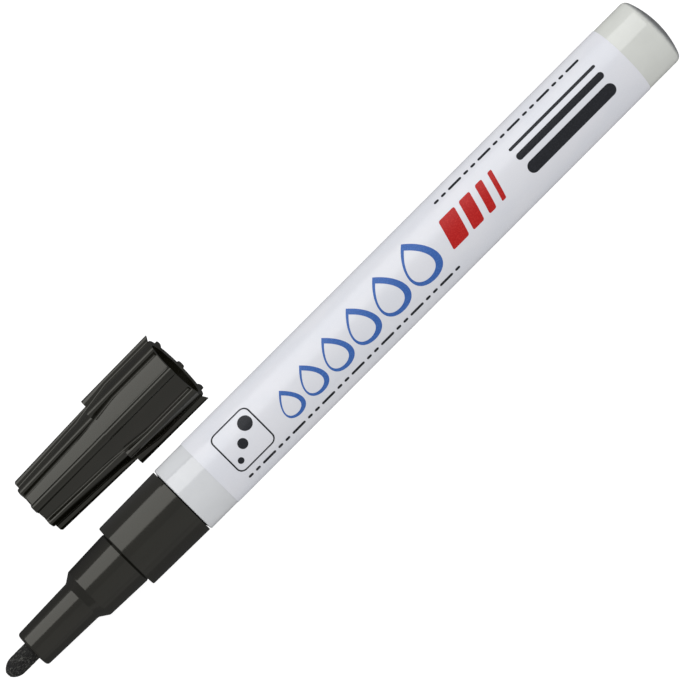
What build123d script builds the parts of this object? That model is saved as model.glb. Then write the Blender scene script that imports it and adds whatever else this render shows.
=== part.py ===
from build123d import *
import math
import os

# A slim valve-action paint marker lying on a table, with its cap taken off and lying beside it.
# Millimetres. X runs along the marker from the writing tip to the closed end of the barrel, the
# cap lies on +Y, and Z is up. The origin is on the marker's axis, half way along the label.

# Barrel
BARREL_DIAMETER = 11.8
BARREL_LENGTH = 98.2
BARREL_WALL = 0.4
BARREL_BOTTOM = 0.6
CROWN_RADIUS = 14.5
END_CORNER_RADIUS = 1.0
LIP_LENGTH = 0.55
LIP_DEPTH = 0.34

# Label
LABEL_LENGTH = 85.2
LABEL_SETBACK = 5.5
LABEL_FILM = 0.05
LABEL_GLUE = 0.02

# Front holder, outside
COLLAR_LENGTH = 11.58
COLLAR_DIAMETER = 11.64
COLLAR_FRONT_DIAMETER = 11.28
COLLAR_EDGE_CHAMFER = 0.25
CAP_SEAT_LENGTH = 7.54
CAP_SEAT_DIAMETER = 9.25
CAP_SEAT_FRONT_DIAMETER = 8.74
CAP_SEAT_EDGE_CHAMFER = 0.3
CONE_LENGTH = 1.46
TUBE_LENGTH = 10.17
TUBE_DIAMETER = 6.78
TUBE_FRONT_DIAMETER = 6.19
TUBE_EDGE_CHAMFER = 0.45
SPIGOT_LENGTH = 9.0
SPIGOT_CLEARANCE = 0.02
SPIGOT_CHAMFER = 0.4

# Front holder, inside
FRONT_WALL = 1.5
TUBE_BORE = 4.5
NECK_BORE = 6.8
GUIDE_COUNT = 4
GUIDE_WIDTH = 0.8
GUIDE_ROOT = 0.2

# Nib
NIB_DIAMETER = 3.05
NIB_REACH = 5.01
NIB_OGIVE_LENGTH = 2.0
NIB_POINT_DIAMETER = 0.9
NIB_CLEARANCE = 0.05
NIB_TRAVEL = 1.5

# Valve
VALVE_DIAMETER = 8.6
VALVE_LENGTH = 14.0
VALVE_INSET = 1.0
VALVE_CLEARANCE = 0.02
VALVE_CHAMFER = 0.3
VALVE_FLOOR = 2.5
VALVE_CAVITY = 6.6
SEAT_HOLE = 2.6
SEAT_DEPTH = 1.2
SEAT_GAP = 0.07
ROD_DIAMETER = 2.0
ROD_SPARE_REACH = 0.5
ROD_GUIDE_LENGTH = 1.0
ROD_CLEARANCE = 0.08
HEAD_DIAMETER = 4.8
HEAD_LENGTH = 1.3
RETAINER_THICKNESS = 2.0
RETAINER_INSET = 0.4
RETAINER_CLEARANCE = 0.02
RETAINER_SLOTS = 4
RETAINER_SLOT_WIDTH = 1.1
RETAINER_SLOT_LENGTH = 1.3
RETAINER_RIM = 0.55

# Spring
SPRING_WIRE = 0.4
SPRING_MEAN_DIAMETER = 3.5
SPRING_TURNS = 5
SPRING_SEAT_GAP = 0.03
SPRING_END_CLOSING = 0.15
ARCS_PER_TURN = 2
WIRE_SIDES = 5

# Mixing ball
BALL_DIAMETER = 3.0
BALL_CLEARANCE = 0.05
BALL_REST = 40.0

# Cap
NIB_ROOM = 3.4
SKIRT_LENGTH = 13.3
SKIRT_WALL = 0.79
FLARE_START = 9.0
FLARE_LENGTH = 7.0
CORE_DIAMETER = 9.12
CORE_END_DIAMETER = 7.84
SEAT_ROOM = 0.9
THROAT_START = 14.3
CAP_END = 1.1
CAP_CLEARANCE = 0.12
CAP_LEAD_IN = 0.25
HOLLOW_CLEARANCE = 0.02
RIB_COUNT = 8
RIB_WIDTH = 1.34
RIB_STEP_DIAMETER = 10.74
RIB_END_DIAMETER = 9.9
RIB_EDGE_RADIUS = 0.5
RIB_END_CHAMFER = 0.25
FIN_HEIGHT = 0.89
FIN_TAPER = 0.09
FIN_OVERHANG = 0.22
FIN_SLANT = 0.35

# Inner cap
SEAL_STEP = 0.5
SEAL_GAP = 0.15
SEAL_CLEARANCE = 0.03
SEAL_WALL = 0.8
SEAL_LIP = 0.5
SEAL_FLOOR = 1.0

# How the cap lies beside the marker
CAP_TILT = 8.4
CAP_GAP = 1.79
CAP_MOUTH_SETBACK = 12.88

# Stations along the marker
barrel_front = -(LABEL_SETBACK + LABEL_LENGTH / 2)
barrel_rear = barrel_front + BARREL_LENGTH
collar_front = barrel_front - COLLAR_LENGTH
seat_front = collar_front - CAP_SEAT_LENGTH
tube_rear = seat_front - CONE_LENGTH
nose_front = tube_rear - TUBE_LENGTH
nib_tip = nose_front - NIB_REACH
spigot_rear = barrel_front + SPIGOT_LENGTH
valve_rear = spigot_rear - VALVE_INSET
valve_front = valve_rear - VALVE_LENGTH
valve_floor = valve_front + VALVE_FLOOR
rod_front = valve_front - NIB_TRAVEL - ROD_SPARE_REACH
retainer_front = valve_rear - RETAINER_INSET - RETAINER_THICKNESS

# Radii that pieces share
barrel_radius = BARREL_DIAMETER / 2
barrel_bore = barrel_radius - BARREL_WALL
label_inner = barrel_radius + LABEL_GLUE
label_outer = label_inner + LABEL_FILM
nib_radius = NIB_DIAMETER / 2
nib_hole = nib_radius + NIB_CLEARANCE
valve_radius = VALVE_DIAMETER / 2
cavity_radius = VALVE_CAVITY / 2
seat_hole = SEAT_HOLE / 2
rod_radius = ROD_DIAMETER / 2
head_radius = HEAD_DIAMETER / 2

# Lengths and radii of the cap, which fits over the cap seat, the front tube and the nib
cap_length = collar_front - nib_tip + NIB_ROOM + CAP_END
cap_bore = CAP_SEAT_DIAMETER / 2 + CAP_CLEARANCE
bore_end = CAP_SEAT_LENGTH + SEAT_ROOM
skirt_radius = cap_bore + SKIRT_WALL
fin_radius = skirt_radius + FIN_HEIGHT
fin_step_radius = fin_radius - FIN_TAPER
hollow_radius = TUBE_DIAMETER / 2 + HOLLOW_CLEARANCE
rib_step_radius = RIB_STEP_DIAMETER / 2
rib_end_radius = RIB_END_DIAMETER / 2


# Barrel: a drawn tube with a crowned bottom, open at the front
crown_centre = barrel_rear - CROWN_RADIUS
crown_rise = CROWN_RADIUS - math.sqrt(CROWN_RADIUS**2 - barrel_radius**2)
bottom_inside = barrel_rear - crown_rise - BARREL_BOTTOM
with BuildPart() as barrel:
    crown_sweep = math.degrees(math.asin(barrel_radius / CROWN_RADIUS))
    with BuildSketch(Plane.XZ) as barrel_outside:
        with BuildLine():
            crown = CenterArc((crown_centre, 0), CROWN_RADIUS, 0, crown_sweep)
            Polyline(
                crown @ 1,
                (barrel_front + LIP_LENGTH, barrel_radius),
                (barrel_front, barrel_radius - LIP_DEPTH),
                (barrel_front, 0),
                crown @ 0,
            )
        make_face()
        fillet(barrel_outside.vertices().sort_by_distance(crown @ 1)[0], END_CORNER_RADIUS)
    revolve(axis=Axis.X)
    with BuildSketch(Plane.YZ.offset(barrel_front)):
        Circle(barrel_bore)
    extrude(amount=bottom_inside - barrel_front, mode=Mode.SUBTRACT)

# Label: a film glued round the barrel
with BuildPart() as label_film:
    with BuildSketch(Plane.YZ.offset(-LABEL_LENGTH / 2)):
        Circle(label_outer)
        Circle(label_inner, mode=Mode.SUBTRACT)
    extrude(amount=LABEL_LENGTH)

# Front holder: collar, cap seat, cone and front tube, with a spigot in the barrel
spigot_radius = barrel_bore - SPIGOT_CLEARANCE
valve_bore = valve_radius + VALVE_CLEARANCE
with BuildPart() as front_holder:
    with BuildSketch(Plane.XZ) as holder_outside:
        tube_edge = (nose_front, TUBE_FRONT_DIAMETER / 2)
        seat_edge = (seat_front, CAP_SEAT_FRONT_DIAMETER / 2)
        collar_edge = (collar_front, COLLAR_FRONT_DIAMETER / 2)
        spigot_edge = (spigot_rear, spigot_radius)
        with BuildLine():
            Polyline(
                (nose_front, 0),
                tube_edge,
                (tube_rear, TUBE_DIAMETER / 2),
                seat_edge,
                (collar_front, CAP_SEAT_DIAMETER / 2),
                collar_edge,
                (barrel_front, COLLAR_DIAMETER / 2),
                (barrel_front, spigot_radius),
                spigot_edge,
                (spigot_rear, 0),
                close=True,
            )
        make_face()
        chamfer(holder_outside.vertices().sort_by_distance(tube_edge)[0], TUBE_EDGE_CHAMFER)
        chamfer(holder_outside.vertices().sort_by_distance(seat_edge)[0], CAP_SEAT_EDGE_CHAMFER)
        chamfer(holder_outside.vertices().sort_by_distance(collar_edge)[0], COLLAR_EDGE_CHAMFER)
        chamfer(holder_outside.vertices().sort_by_distance(spigot_edge)[0], SPIGOT_CHAMFER)
    revolve(axis=Axis.X)
    with BuildSketch(Plane.XZ):
        with BuildLine():
            Polyline(
                (nose_front, 0),
                (nose_front, nib_hole),
                (nose_front + FRONT_WALL, nib_hole),
                (nose_front + FRONT_WALL, TUBE_BORE / 2),
                (seat_front, TUBE_BORE / 2),
                (seat_front, NECK_BORE / 2),
                (valve_front, NECK_BORE / 2),
                (valve_front, valve_bore),
                (spigot_rear, valve_bore),
                (spigot_rear, 0),
                close=True,
            )
        make_face()
    revolve(axis=Axis.X, mode=Mode.SUBTRACT)
    guide_front = nose_front + FRONT_WALL
    with BuildSketch(Plane.YZ.offset(guide_front)):
        with PolarLocations(nib_hole, GUIDE_COUNT):
            Rectangle(
                TUBE_BORE / 2 + GUIDE_ROOT - nib_hole,
                GUIDE_WIDTH,
                align=(Align.MIN, Align.CENTER),
            )
    extrude(amount=seat_front - guide_front)

# Nib: a fibre rod with a bullet tip, resting on the front end of the valve rod
with BuildPart() as writing_nib:
    with BuildSketch(Plane.XZ):
        ogive_foot = (nib_tip + NIB_OGIVE_LENGTH, nib_radius)
        with BuildLine():
            ogive = TangentArc(ogive_foot, (nib_tip, NIB_POINT_DIAMETER / 2), tangent=(-1, 0))
            Polyline(ogive @ 1, (nib_tip, 0), (rod_front, 0), (rod_front, nib_radius), ogive_foot)
        make_face()
    revolve(axis=Axis.X)

# Valve body: a cup with a conical seat in its floor, pressed into the holder from the rear
with BuildPart() as valve_body:
    with BuildSketch(Plane.XZ):
        with BuildLine():
            Polyline(
                (valve_front, seat_hole),
                (valve_front, valve_radius - VALVE_CHAMFER),
                (valve_front + VALVE_CHAMFER, valve_radius),
                (valve_rear, valve_radius),
                (valve_rear, cavity_radius),
                (valve_floor, cavity_radius),
                (valve_floor, seat_hole + SEAT_DEPTH),
                (valve_floor - SEAT_DEPTH, seat_hole),
                close=True,
            )
        make_face()
    revolve(axis=Axis.X)

# Valve rod: its cone closes the seat, its tail is guided by the retainer
head_at_seat = valve_floor - SEAT_DEPTH + SEAT_GAP
cone_front = head_at_seat - (seat_hole - rod_radius)
cone_rear = head_at_seat + (head_radius - seat_hole)
head_rear = cone_rear + HEAD_LENGTH
rod_rear = retainer_front + ROD_GUIDE_LENGTH
with BuildPart() as valve_rod:
    with BuildSketch(Plane.XZ):
        with BuildLine():
            Polyline(
                (rod_front, 0),
                (rod_front, rod_radius),
                (cone_front, rod_radius),
                (cone_rear, head_radius),
                (head_rear, head_radius),
                (head_rear, rod_radius),
                (rod_rear, rod_radius),
                (rod_rear, 0),
                close=True,
            )
        make_face()
    revolve(axis=Axis.X)

# Spring retainer: a disc across the rear of the valve body, slotted to let the paint through
with BuildPart() as spring_retainer:
    with BuildSketch(Plane.YZ.offset(retainer_front)):
        Circle(cavity_radius - RETAINER_CLEARANCE)
        Circle(rod_radius + ROD_CLEARANCE, mode=Mode.SUBTRACT)
        slot_outer = cavity_radius - RETAINER_RIM
        with PolarLocations(slot_outer, RETAINER_SLOTS, start_angle=180 / RETAINER_SLOTS):
            Rectangle(
                RETAINER_SLOT_LENGTH,
                RETAINER_SLOT_WIDTH,
                align=(Align.MAX, Align.CENTER),
                mode=Mode.SUBTRACT,
            )
    extrude(amount=RETAINER_THICKNESS)

# Spring: a round wire wound round the rod's tail, its end turns a little closer than the rest
spring_front = head_rear + SPRING_SEAT_GAP + SPRING_WIRE / 2
spring_rear = retainer_front - SPRING_SEAT_GAP - SPRING_WIRE / 2
spring_radius = SPRING_MEAN_DIAMETER / 2
spring_angle = 2 * math.pi * SPRING_TURNS


def spring_point(share):
    """Centre of the wire at a share, from 0 to 1, of the winding."""
    angle = spring_angle * share
    advance = (spring_rear - spring_front) * share - SPRING_END_CLOSING * math.sin(2 * math.pi * share)
    return Vector(spring_front + advance, spring_radius * math.cos(angle), spring_radius * math.sin(angle))


def spring_tangent(share):
    """Direction of the wire at a share, from 0 to 1, of the winding."""
    angle = spring_angle * share
    closing = SPRING_END_CLOSING * 2 * math.pi * math.cos(2 * math.pi * share)
    advance = (spring_rear - spring_front - closing) / spring_angle
    return Vector(
        advance, -spring_radius * math.sin(angle), spring_radius * math.cos(angle)
    ).normalized()


def biarc(start, start_tangent, end, end_tangent):
    """Draws two arcs from start to end that leave and arrive along the given tangents."""
    span = end - start
    both = start_tangent + end_tangent
    spread = 2 - 2 * start_tangent.dot(end_tangent)
    along = span.dot(both)
    reach = (math.sqrt(along**2 + spread * span.dot(span)) - along) / spread
    first_corner = start + start_tangent * reach
    last_corner = end - end_tangent * reach
    joint = (first_corner + last_corner) * 0.5
    TangentArc(start, joint, tangent=start_tangent)
    TangentArc(joint, end, tangent=last_corner - first_corner)


spring_arcs = SPRING_TURNS * ARCS_PER_TURN
with BuildPart() as valve_spring:
    with BuildLine() as winding:
        for arc in range(spring_arcs):
            near = arc / spring_arcs
            far = (arc + 1) / spring_arcs
            biarc(spring_point(near), spring_tangent(near), spring_point(far), spring_tangent(far))
    with BuildSketch(Plane(origin=winding.line @ 0, z_dir=winding.line % 0)):
        RegularPolygon(SPRING_WIRE / 2, WIRE_SIDES)
    sweep(path=winding.line)

POINTS_PER_TURN = 48
wire_points = [
    spring_point(step / (SPRING_TURNS * POINTS_PER_TURN))
    for step in range(SPRING_TURNS * POINTS_PER_TURN + 1)
]
least_gap = min(
    (wire_points[far] - wire_points[near]).length - SPRING_WIRE
    for near in range(len(wire_points))
    for far in range(near + POINTS_PER_TURN // 2, len(wire_points))
)
print(f"least gap between the spring's turns: {least_gap:.2f} mm")

# Mixing ball: lies on the barrel's inner wall
ball_radius = BALL_DIAMETER / 2
with BuildPart() as mixing_ball:
    with Locations((barrel_front + BALL_REST, 0, ball_radius + BALL_CLEARANCE - barrel_bore)):
        Sphere(ball_radius)

# The cap lies on the label's table, tipped towards its closed end: the end of its lowest rib or the
# step of that rib's fin touches the table, whichever reaches lower
cap_tilt = math.radians(CAP_TILT)
low_points = [(SKIRT_LENGTH, fin_step_radius), (cap_length - RIB_END_CHAMFER, rib_end_radius)]
lowest_reach = max(
    along * math.sin(cap_tilt) + radius * math.cos(cap_tilt) for along, radius in low_points
)
mouth_height = lowest_reach - label_outer
mouth_centre = (
    barrel_front + CAP_MOUTH_SETBACK,
    label_outer + CAP_GAP + fin_radius,
    mouth_height,
)
cap_direction = (-math.cos(cap_tilt), 0, -math.sin(cap_tilt))
cap_upwards = (-math.sin(cap_tilt), 0, math.cos(cap_tilt))
cap_axis = Axis(mouth_centre, cap_direction)
cap_mouth = Plane(origin=mouth_centre, x_dir=cap_upwards, z_dir=cap_direction)
cap_side = Plane(origin=mouth_centre, x_dir=cap_direction, z_dir=(0, 1, 0))

# One rib of the cap, along Z from the mouth, with its back towards +X
with BuildPart() as cap_rib:
    with BuildSketch(Plane.XZ) as rib_outline:
        rib_corner = (rib_end_radius, cap_length)
        with BuildLine():
            Polyline(
                (0, FIN_SLANT),
                (skirt_radius, FIN_SLANT),
                (fin_radius, -FIN_OVERHANG),
                (fin_step_radius, SKIRT_LENGTH),
                (rib_step_radius, SKIRT_LENGTH),
                rib_corner,
                (0, cap_length),
                close=True,
            )
        make_face()
        chamfer(rib_outline.vertices().sort_by_distance(rib_corner)[0], RIB_END_CHAMFER)
    extrude(amount=RIB_WIDTH / 2, both=True)
    flank_edges = cap_rib.faces().filter_by(Axis.Y).edges()
    long_edges = flank_edges.filter_by(lambda edge: edge.length > cap_length / 4)
    fillet(long_edges.filter_by(lambda edge: edge.center().X > skirt_radius / 2), RIB_EDGE_RADIUS)

# Cap shell: a core that flares into the skirt, with the ribs round it, hollow from the mouth and
# narrower at the far end, where the inner cap sits
hollow_end = cap_length - CAP_END
seal_front = collar_front - nose_front + SEAL_GAP
seal_radius = hollow_radius - SEAL_STEP
with BuildPart(cap_mouth) as cap_shell:
    with BuildSketch(cap_side):
        with BuildLine():
            Polyline(
                (0, 0),
                (0, skirt_radius),
                (FLARE_START, skirt_radius),
                (FLARE_START + FLARE_LENGTH, CORE_DIAMETER / 2),
                (cap_length, CORE_END_DIAMETER / 2),
                (cap_length, 0),
                close=True,
            )
        make_face()
    revolve(axis=cap_axis)
    with PolarLocations(0, RIB_COUNT):
        add(cap_rib.part)
    with BuildSketch(cap_side):
        with BuildLine():
            Polyline(
                (0, 0),
                (0, cap_bore + CAP_LEAD_IN),
                (CAP_LEAD_IN, cap_bore),
                (bore_end, cap_bore),
                (THROAT_START, hollow_radius),
                (seal_front, hollow_radius),
                (seal_front, seal_radius + SEAL_CLEARANCE),
                (hollow_end, seal_radius + SEAL_CLEARANCE),
                (hollow_end, 0),
                close=True,
            )
        make_face()
    revolve(axis=cap_axis, mode=Mode.SUBTRACT)

# Inner cap: a soft cup in the closed end, whose lip meets the front of the holder
seal_bore = seal_radius - SEAL_WALL
with BuildPart() as inner_cap:
    with BuildSketch(cap_side):
        with BuildLine():
            Polyline(
                (seal_front, seal_bore + SEAL_LIP),
                (seal_front, seal_radius),
                (hollow_end, seal_radius),
                (hollow_end, 0),
                (hollow_end - SEAL_FLOOR, 0),
                (hollow_end - SEAL_FLOOR, seal_bore),
                (seal_front + SEAL_LIP, seal_bore),
                close=True,
            )
        make_face()
    revolve(axis=cap_axis)

pieces = {
    "barrel": barrel,
    "label_film": label_film,
    "front_holder": front_holder,
    "writing_nib": writing_nib,
    "valve_body": valve_body,
    "valve_rod": valve_rod,
    "spring_retainer": spring_retainer,
    "valve_spring": valve_spring,
    "mixing_ball": mixing_ball,
    "cap_shell": cap_shell,
    "inner_cap": inner_cap,
}
os.makedirs("parts", exist_ok=True)
for name, piece in pieces.items():
    piece.part.label = name
    export_step(piece.part, f"parts/{name}.step")

print(f"cap mouth centre {mouth_centre}")
print(f"nib tip at {nib_tip:.2f}, closed end at {barrel_rear:.2f}, rod end at {rod_rear:.2f}")
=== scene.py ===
"""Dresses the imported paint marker, which lies beside its cap, for its portrait.

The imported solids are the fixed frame. A drawn barrel with a rolled lip, a nose moulding with rounded
edges, a fibre nib, a wrapped and printed film, a round-wire spring and a cap with a soft flare stand in
for the solids that they replace. The other solids keep their shape and get a finish. Pieces are modelled
in millimetres and brought to metres when they are done.
"""
import logging
import math
from dataclasses import dataclass
from enum import Enum
from typing import Callable, Sequence

import bmesh
import bpy
import numpy as np
from mathutils import Matrix, Vector


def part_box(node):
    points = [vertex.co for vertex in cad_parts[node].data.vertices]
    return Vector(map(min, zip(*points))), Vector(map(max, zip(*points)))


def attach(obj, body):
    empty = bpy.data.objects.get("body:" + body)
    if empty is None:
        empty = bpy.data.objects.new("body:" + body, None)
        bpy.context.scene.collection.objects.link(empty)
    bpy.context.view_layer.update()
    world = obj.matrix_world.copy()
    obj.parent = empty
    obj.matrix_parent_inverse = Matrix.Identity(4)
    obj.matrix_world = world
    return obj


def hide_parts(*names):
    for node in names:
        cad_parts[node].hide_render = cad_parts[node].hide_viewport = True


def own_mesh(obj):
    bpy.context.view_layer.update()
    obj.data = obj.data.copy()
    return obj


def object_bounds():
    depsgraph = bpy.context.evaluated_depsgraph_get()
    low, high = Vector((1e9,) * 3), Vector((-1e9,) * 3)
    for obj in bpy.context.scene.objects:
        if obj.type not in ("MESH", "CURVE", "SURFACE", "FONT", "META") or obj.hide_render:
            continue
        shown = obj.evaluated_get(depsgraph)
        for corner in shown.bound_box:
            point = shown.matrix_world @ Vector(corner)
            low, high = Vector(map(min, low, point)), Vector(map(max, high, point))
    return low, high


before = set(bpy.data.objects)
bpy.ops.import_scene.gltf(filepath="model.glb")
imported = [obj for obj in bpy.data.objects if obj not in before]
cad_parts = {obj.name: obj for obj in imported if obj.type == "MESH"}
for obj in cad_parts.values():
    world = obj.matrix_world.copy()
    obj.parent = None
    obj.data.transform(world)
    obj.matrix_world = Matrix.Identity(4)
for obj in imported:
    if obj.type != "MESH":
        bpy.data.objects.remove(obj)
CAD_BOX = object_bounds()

LOG = logging.getLogger("paint_marker")
MM = 0.001
TURN = 2 * math.pi

Colour = tuple[float, float, float]
Corner = tuple[float, float]
Socket = bpy.types.NodeSocket


class Body(Enum):
    """The bodies that pieces ride on."""

    MARKER = "marker"
    PLUNGER = "plunger"
    CAP = "cap"


class Solid(Enum):
    """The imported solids."""

    BARREL = "barrel"
    LABEL = "label_film"
    HOLDER = "front_holder"
    NIB = "writing_nib"
    VALVE_BODY = "valve_body"
    VALVE_ROD = "valve_rod"
    RETAINER = "spring_retainer"
    SPRING = "valve_spring"
    BALL = "mixing_ball"
    CAP = "cap_shell"
    INNER_CAP = "inner_cap"

    def box(self) -> tuple[Vector, Vector]:
        """Returns the solid's lowest and highest corners in millimetres."""
        low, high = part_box(self.value)
        return low / MM, high / MM

    def dress(self, material: bpy.types.Material) -> None:
        """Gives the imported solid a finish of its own."""
        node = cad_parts[self.value]
        node.data.materials.clear()
        node.data.materials.append(material)
        LOG.info("%s keeps its solid, finish %s", self.value, material.name)


class Slot(Enum):
    """The record's material slots."""

    BARREL = "barrel_lacquer"
    LABEL = "label_print"
    MOULDING = "black_moulding"
    NIB = "nib_fibre"
    SPRING = "spring_steel"


def linear(red: int, green: int, blue: int) -> Colour:
    """Turns a colour of 0 to 255 as seen on a screen into linear light.

    Args:
        red: Red share.
        green: Green share.
        blue: Blue share.

    Returns:
        The colour's three linear shares.
    """
    shares = (channel / 255 for channel in (red, green, blue))
    return tuple(s / 12.92 if s <= 0.04045 else ((s + 0.055) / 1.055) ** 2.4 for s in shares)


class NodeSketch:
    """A material's node tree round one principled shader, built node by node."""

    def __init__(self, name: str) -> None:
        """Starts a material with a shader, its output and the piece's own coordinates.

        Args:
            name: Name of the material.
        """
        self.material = bpy.data.materials.new(name)
        self.material.use_nodes = True
        self.tree = self.material.node_tree
        self.tree.nodes.clear()
        self.shader = self.add("ShaderNodeBsdfPrincipled")
        self.add("ShaderNodeOutputMaterial", Surface=self.shader.outputs[0])
        self.place = self.add("ShaderNodeTexCoord").outputs["Object"]

    def add(self, kind: str, settings: dict | None = None, **inputs: object) -> bpy.types.Node:
        """Adds a node, with its properties and with values or links on its inputs.

        Args:
            kind: The node's type.
            settings: Properties of the node by name.
            inputs: Values or sockets by input name, with _ for a space.

        Returns:
            The new node.
        """
        node = self.tree.nodes.new(kind)
        for key, value in (settings or {}).items():
            setattr(node, key, value)
        for key, value in inputs.items():
            self.feed(node.inputs[key.replace("_", " ")], value)
        return node

    def feed(self, socket: Socket, value: object) -> None:
        """Links a socket to another one, or sets its value."""
        if isinstance(value, bpy.types.NodeSocket):
            self.tree.links.new(value, socket)
        elif isinstance(value, tuple) and socket.type == "RGBA":
            socket.default_value = (*value, 1.0)
        else:
            socket.default_value = value

    def finish(self, **inputs: object) -> bpy.types.Material:
        """Sets the shader's inputs and returns the material.

        Args:
            inputs: Values or sockets by the shader's input name, with _ for a space.

        Returns:
            The finished material.
        """
        for key, value in inputs.items():
            self.feed(self.shader.inputs[key.replace("_", " ")], value)
        return self.material

    def axes(self) -> tuple[Socket, Socket, Socket]:
        """Returns the X, Y and Z of the piece's own coordinates."""
        split = self.add("ShaderNodeSeparateXYZ", Vector=self.place)
        return split.outputs[0], split.outputs[1], split.outputs[2]

    def noise(self, size: float, detail: float = 2.0, stretch: float = 1.0) -> Socket:
        """A noise whose blotches are about a given size.

        Args:
            size: Size of a blotch across the marker, in millimetres.
            detail: Octaves of finer noise in it.
            stretch: How many times longer a blotch is along the marker.

        Returns:
            The noise's value, about 0.5 on average.
        """
        vector = self.place
        if stretch != 1.0:
            vector = self.add("ShaderNodeMapping", Vector=vector, Scale=(1 / stretch, 1, 1)).outputs[0]
        texture = self.add("ShaderNodeTexNoise", Vector=vector, Scale=1 / (size * MM), Detail=detail)
        return texture.outputs[0]

    def math(self, operation: str, first: object, second: object = 0.0) -> Socket:
        """Returns the result of a math node on two values or sockets."""
        node = self.add("ShaderNodeMath", {"operation": operation})
        self.feed(node.inputs[0], first)
        self.feed(node.inputs[1], second)
        return node.outputs[0]

    def spread(self, value: Socket, reach: Corner, into: Corner = (0.0, 1.0)) -> Socket:
        """Maps a value's stretch onto another one, smoothly and held at its ends.

        Args:
            value: The value to map.
            reach: The stretch of the value, low and high.
            into: What the low and the high end become.

        Returns:
            The mapped value.
        """
        node = self.add("ShaderNodeMapRange", {"interpolation_type": "SMOOTHSTEP"}, Value=value)
        for socket, number in zip(node.inputs[1:5], (*reach, *into)):
            socket.default_value = number
        return node.outputs[0]

    def mix(self, share: Socket, first: object, second: object) -> Socket:
        """Returns the colour between two colours or sockets at a share."""
        node = self.add("ShaderNodeMix", {"data_type": "RGBA"})
        self.feed(node.inputs[0], share)
        self.feed(node.inputs[6], first)
        self.feed(node.inputs[7], second)
        return node.outputs[2]

    def relief(self, height: Socket, depth: float, strength: float = 1.0) -> Socket:
        """Returns a bumped normal.

        Args:
            height: The relief, 0 to 1.
            depth: How deep the relief is, in millimetres.
            strength: Share of the relief that is felt.

        Returns:
            The bumped normal.
        """
        node = self.add("ShaderNodeBump", Height=height, Distance=depth * MM, Strength=strength)
        return node.outputs[0]


@dataclass(frozen=True)
class MouldedPlastic:
    """Polished moulded plastic with flow marks, fine scuffs and a faint skin."""

    name: str
    dark: Colour
    pale: Colour
    gloss: Corner = (0.1, 0.16)
    scuff: float = 0.12
    tint: Colour = (1.0, 0.99, 0.91)

    def material(self) -> bpy.types.Material:
        """Returns the finish as a material."""
        sketch = NodeSketch(self.name)
        flow = sketch.noise(2.6, 3.0, 4.0)
        skin = sketch.noise(0.16, 2.0)
        scratch = sketch.spread(sketch.noise(0.05, 1.0, 40.0), (0.66, 0.78))
        patch = sketch.spread(sketch.noise(3.5, 2.0), (0.45, 0.62))
        scuffs = sketch.math("MULTIPLY", scratch, patch)
        polish = sketch.spread(skin, (0.3, 0.7), self.gloss)
        relief = sketch.math("SUBTRACT", skin, sketch.math("MULTIPLY", scuffs, 0.5))
        return sketch.finish(
            Base_Color=sketch.mix(sketch.spread(flow, (0.35, 0.65)), self.dark, self.pale),
            Roughness=sketch.math("ADD", polish, sketch.math("MULTIPLY", scuffs, self.scuff)),
            Normal=sketch.relief(relief, 0.002, 0.4),
            Specular_Tint=self.tint,
        )


@dataclass(frozen=True)
class LacqueredBarrel:
    """White lacquer on drawn metal, with the crown of the closed end left bare, and a painted light tint
    that is cooler on the front half and warmer on the rear half.
    """

    name: str = "barrel_white_lacquer"
    # front and rear are one white lacquer: their cooler and warmer tints are painted light, not two
    # paints
    front: Colour = linear(214, 216, 219)
    rear: Colour = linear(213, 215, 210)
    metal: Colour = (0.31, 0.32, 0.33)
    bare_from: float = 48.35
    fade: float = 0.75
    ragged: float = 0.25
    mark_pitch: float = 0.16

    def material(self) -> bpy.types.Material:
        """Returns the finish as a material."""
        sketch = NodeSketch(self.name)
        along, across, upright = sketch.axes()
        # Painted light: the lacquer is blended from the cooler front tint to the warmer rear tint round
        # the middle of the barrel
        lacquer_with_painted_tint = sketch.mix(sketch.spread(along, (-0.02, 0.02)), self.front, self.rear)
        cloud = sketch.spread(sketch.noise(3.0, 3.0), (0.3, 0.7), (0.965, 1.0))
        tint = sketch.add("ShaderNodeHueSaturation", Value=cloud, Color=lacquer_with_painted_tint).outputs[0]
        wander = sketch.math("SUBTRACT", sketch.noise(0.5, 3.0), 0.5)
        edge = sketch.math("ADD", along, sketch.math("MULTIPLY", wander, self.ragged * MM))
        start = self.bare_from * MM
        bare = sketch.spread(edge, (start, start + self.fade * MM))
        square = sketch.math(
            "ADD", sketch.math("POWER", across, 2.0), sketch.math("POWER", upright, 2.0)
        )
        radius = sketch.math("POWER", square, 0.5)
        rings = sketch.math("SINE", sketch.math("MULTIPLY", radius, TURN / (self.mark_pitch * MM)))
        peel = sketch.noise(0.7, 2.0)
        speck = sketch.noise(0.12, 2.0)
        worn = sketch.math("MULTIPLY", bare, sketch.math("ADD", rings, speck))
        relief = sketch.math(
            "ADD", sketch.math("MULTIPLY", peel, 0.4), sketch.math("MULTIPLY", worn, 0.3)
        )
        gloss = sketch.spread(speck, (0.3, 0.7), (0.08, 0.13))
        roughness = sketch.math("ADD", gloss, sketch.math("MULTIPLY", bare, 0.14))
        return sketch.finish(
            Base_Color=sketch.mix(bare, tint, self.metal),
            Metallic=sketch.math("MULTIPLY", bare, 0.5),
            Roughness=roughness,
            Normal=sketch.relief(relief, 0.003, 0.3),
            Specular_IOR_Level=0.75,
        )


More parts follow.
